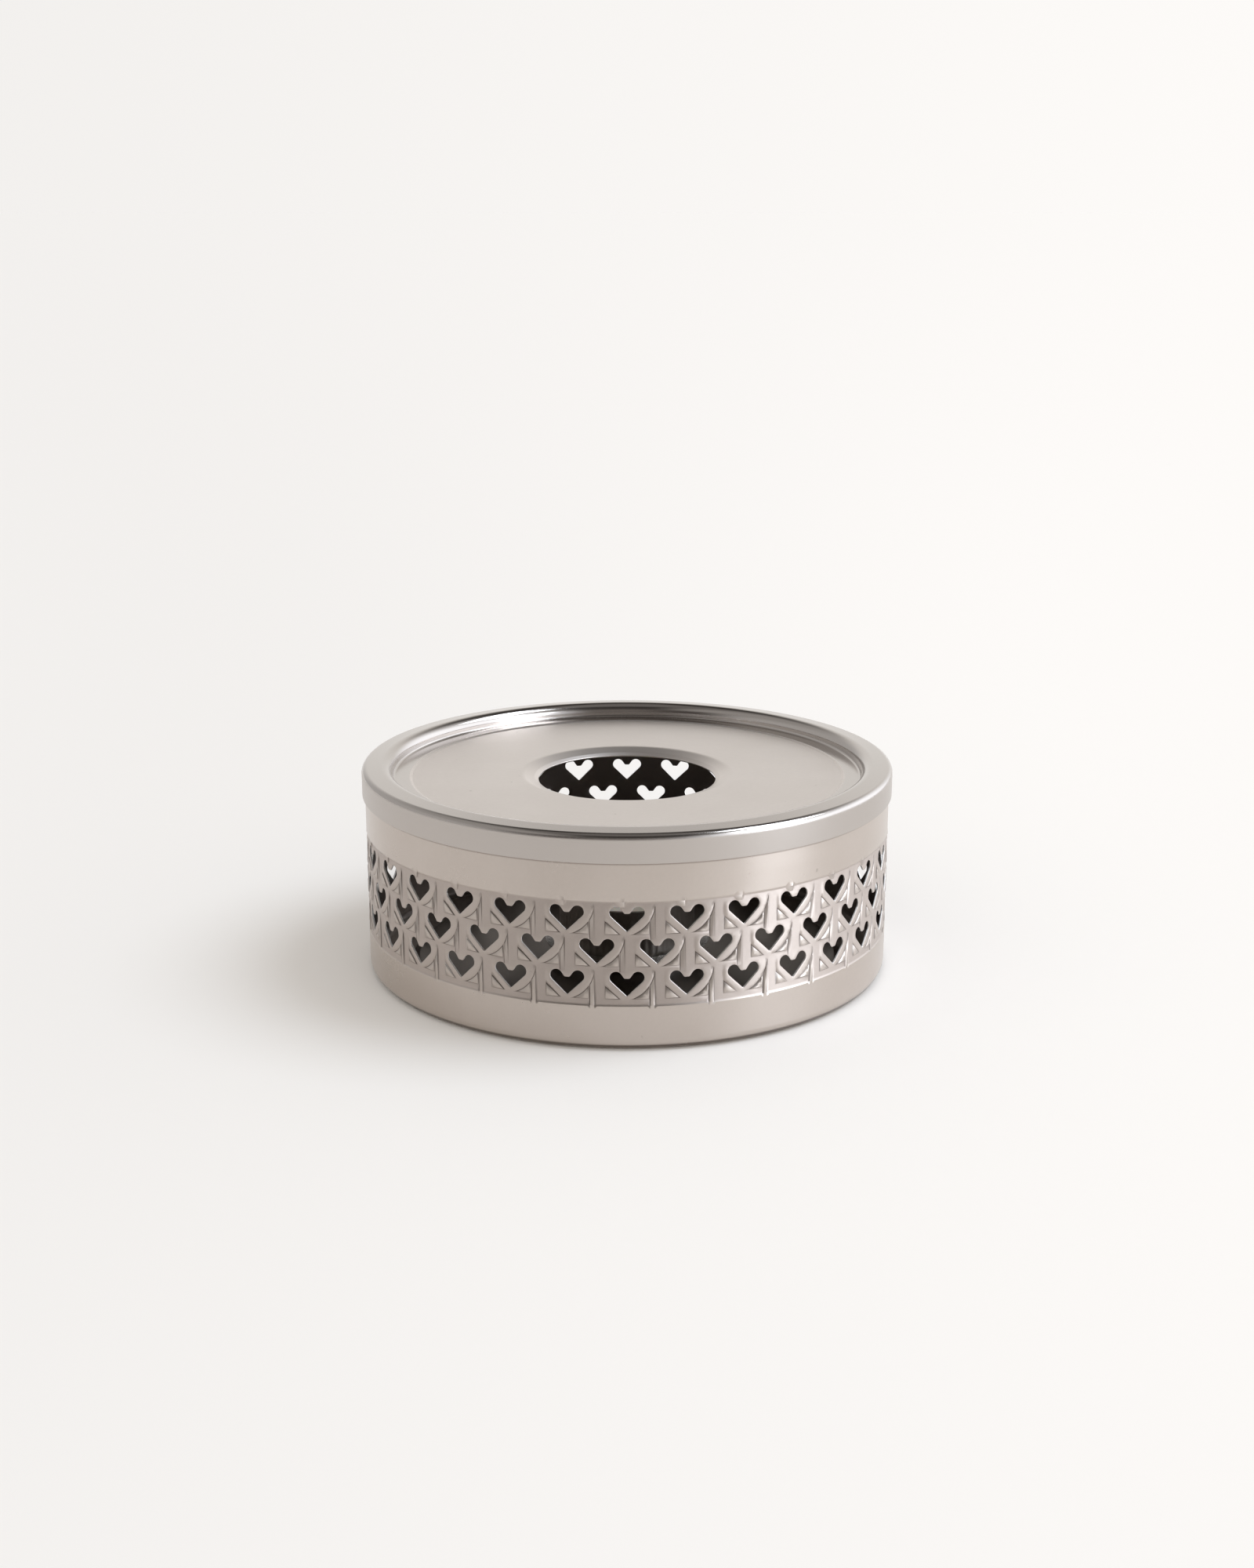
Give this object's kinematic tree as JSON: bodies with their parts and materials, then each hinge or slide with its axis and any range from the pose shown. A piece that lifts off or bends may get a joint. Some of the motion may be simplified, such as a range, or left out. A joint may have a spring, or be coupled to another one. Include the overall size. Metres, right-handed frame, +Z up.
{
  "type": "tealight warmer",
  "caption": "Round tealight warmer: drawn steel drum pierced with rows of hearts, lift-off pot-rest lid with a central heat hole, and a tealight standing in a low holder.",
  "frame": {"origin": "middle of the base, on the surface it stands on", "axes": "+Z up through the lid, front towards -Y, one heart of the top row at the front"},
  "size_m": [0.145, 0.145, 0.0571],
  "materials": {
    "steel_drum": "satin stainless sheet, fine grain, embossed band",
    "steel_lid": "satin stainless sheet, fine grain",
    "steel_holder": "bright drawn stainless sheet",
    "cup_aluminium": "thin bright drawn sheet",
    "wax": "paraffin wax, matte and slightly translucent",
    "wick_cotton": "braided waxed cotton",
    "sustainer_steel": "tinned sheet"
  },
  "bodies": {
    "drum": {"drum_shell": "steel_drum", "candle_holder": "steel_holder"},
    "lid": {"lid": "steel_lid"},
    "tealight": {"tealight_cup": "cup_aluminium", "tealight_wax": "wax", "wick": "wick_cotton", "wick_sustainer": "sustainer_steel"}
  },
  "joints": [
    {"name": "lid_lift", "type": "slide", "parent": "drum", "child": "lid", "axis": [0, 0, 1], "range_m": [0, 0.05]},
    {"name": "tealight_lift", "type": "slide", "parent": "drum", "child": "tealight", "axis": [0, 0, 1], "range_m": [0, 0.075]}
  ]
}
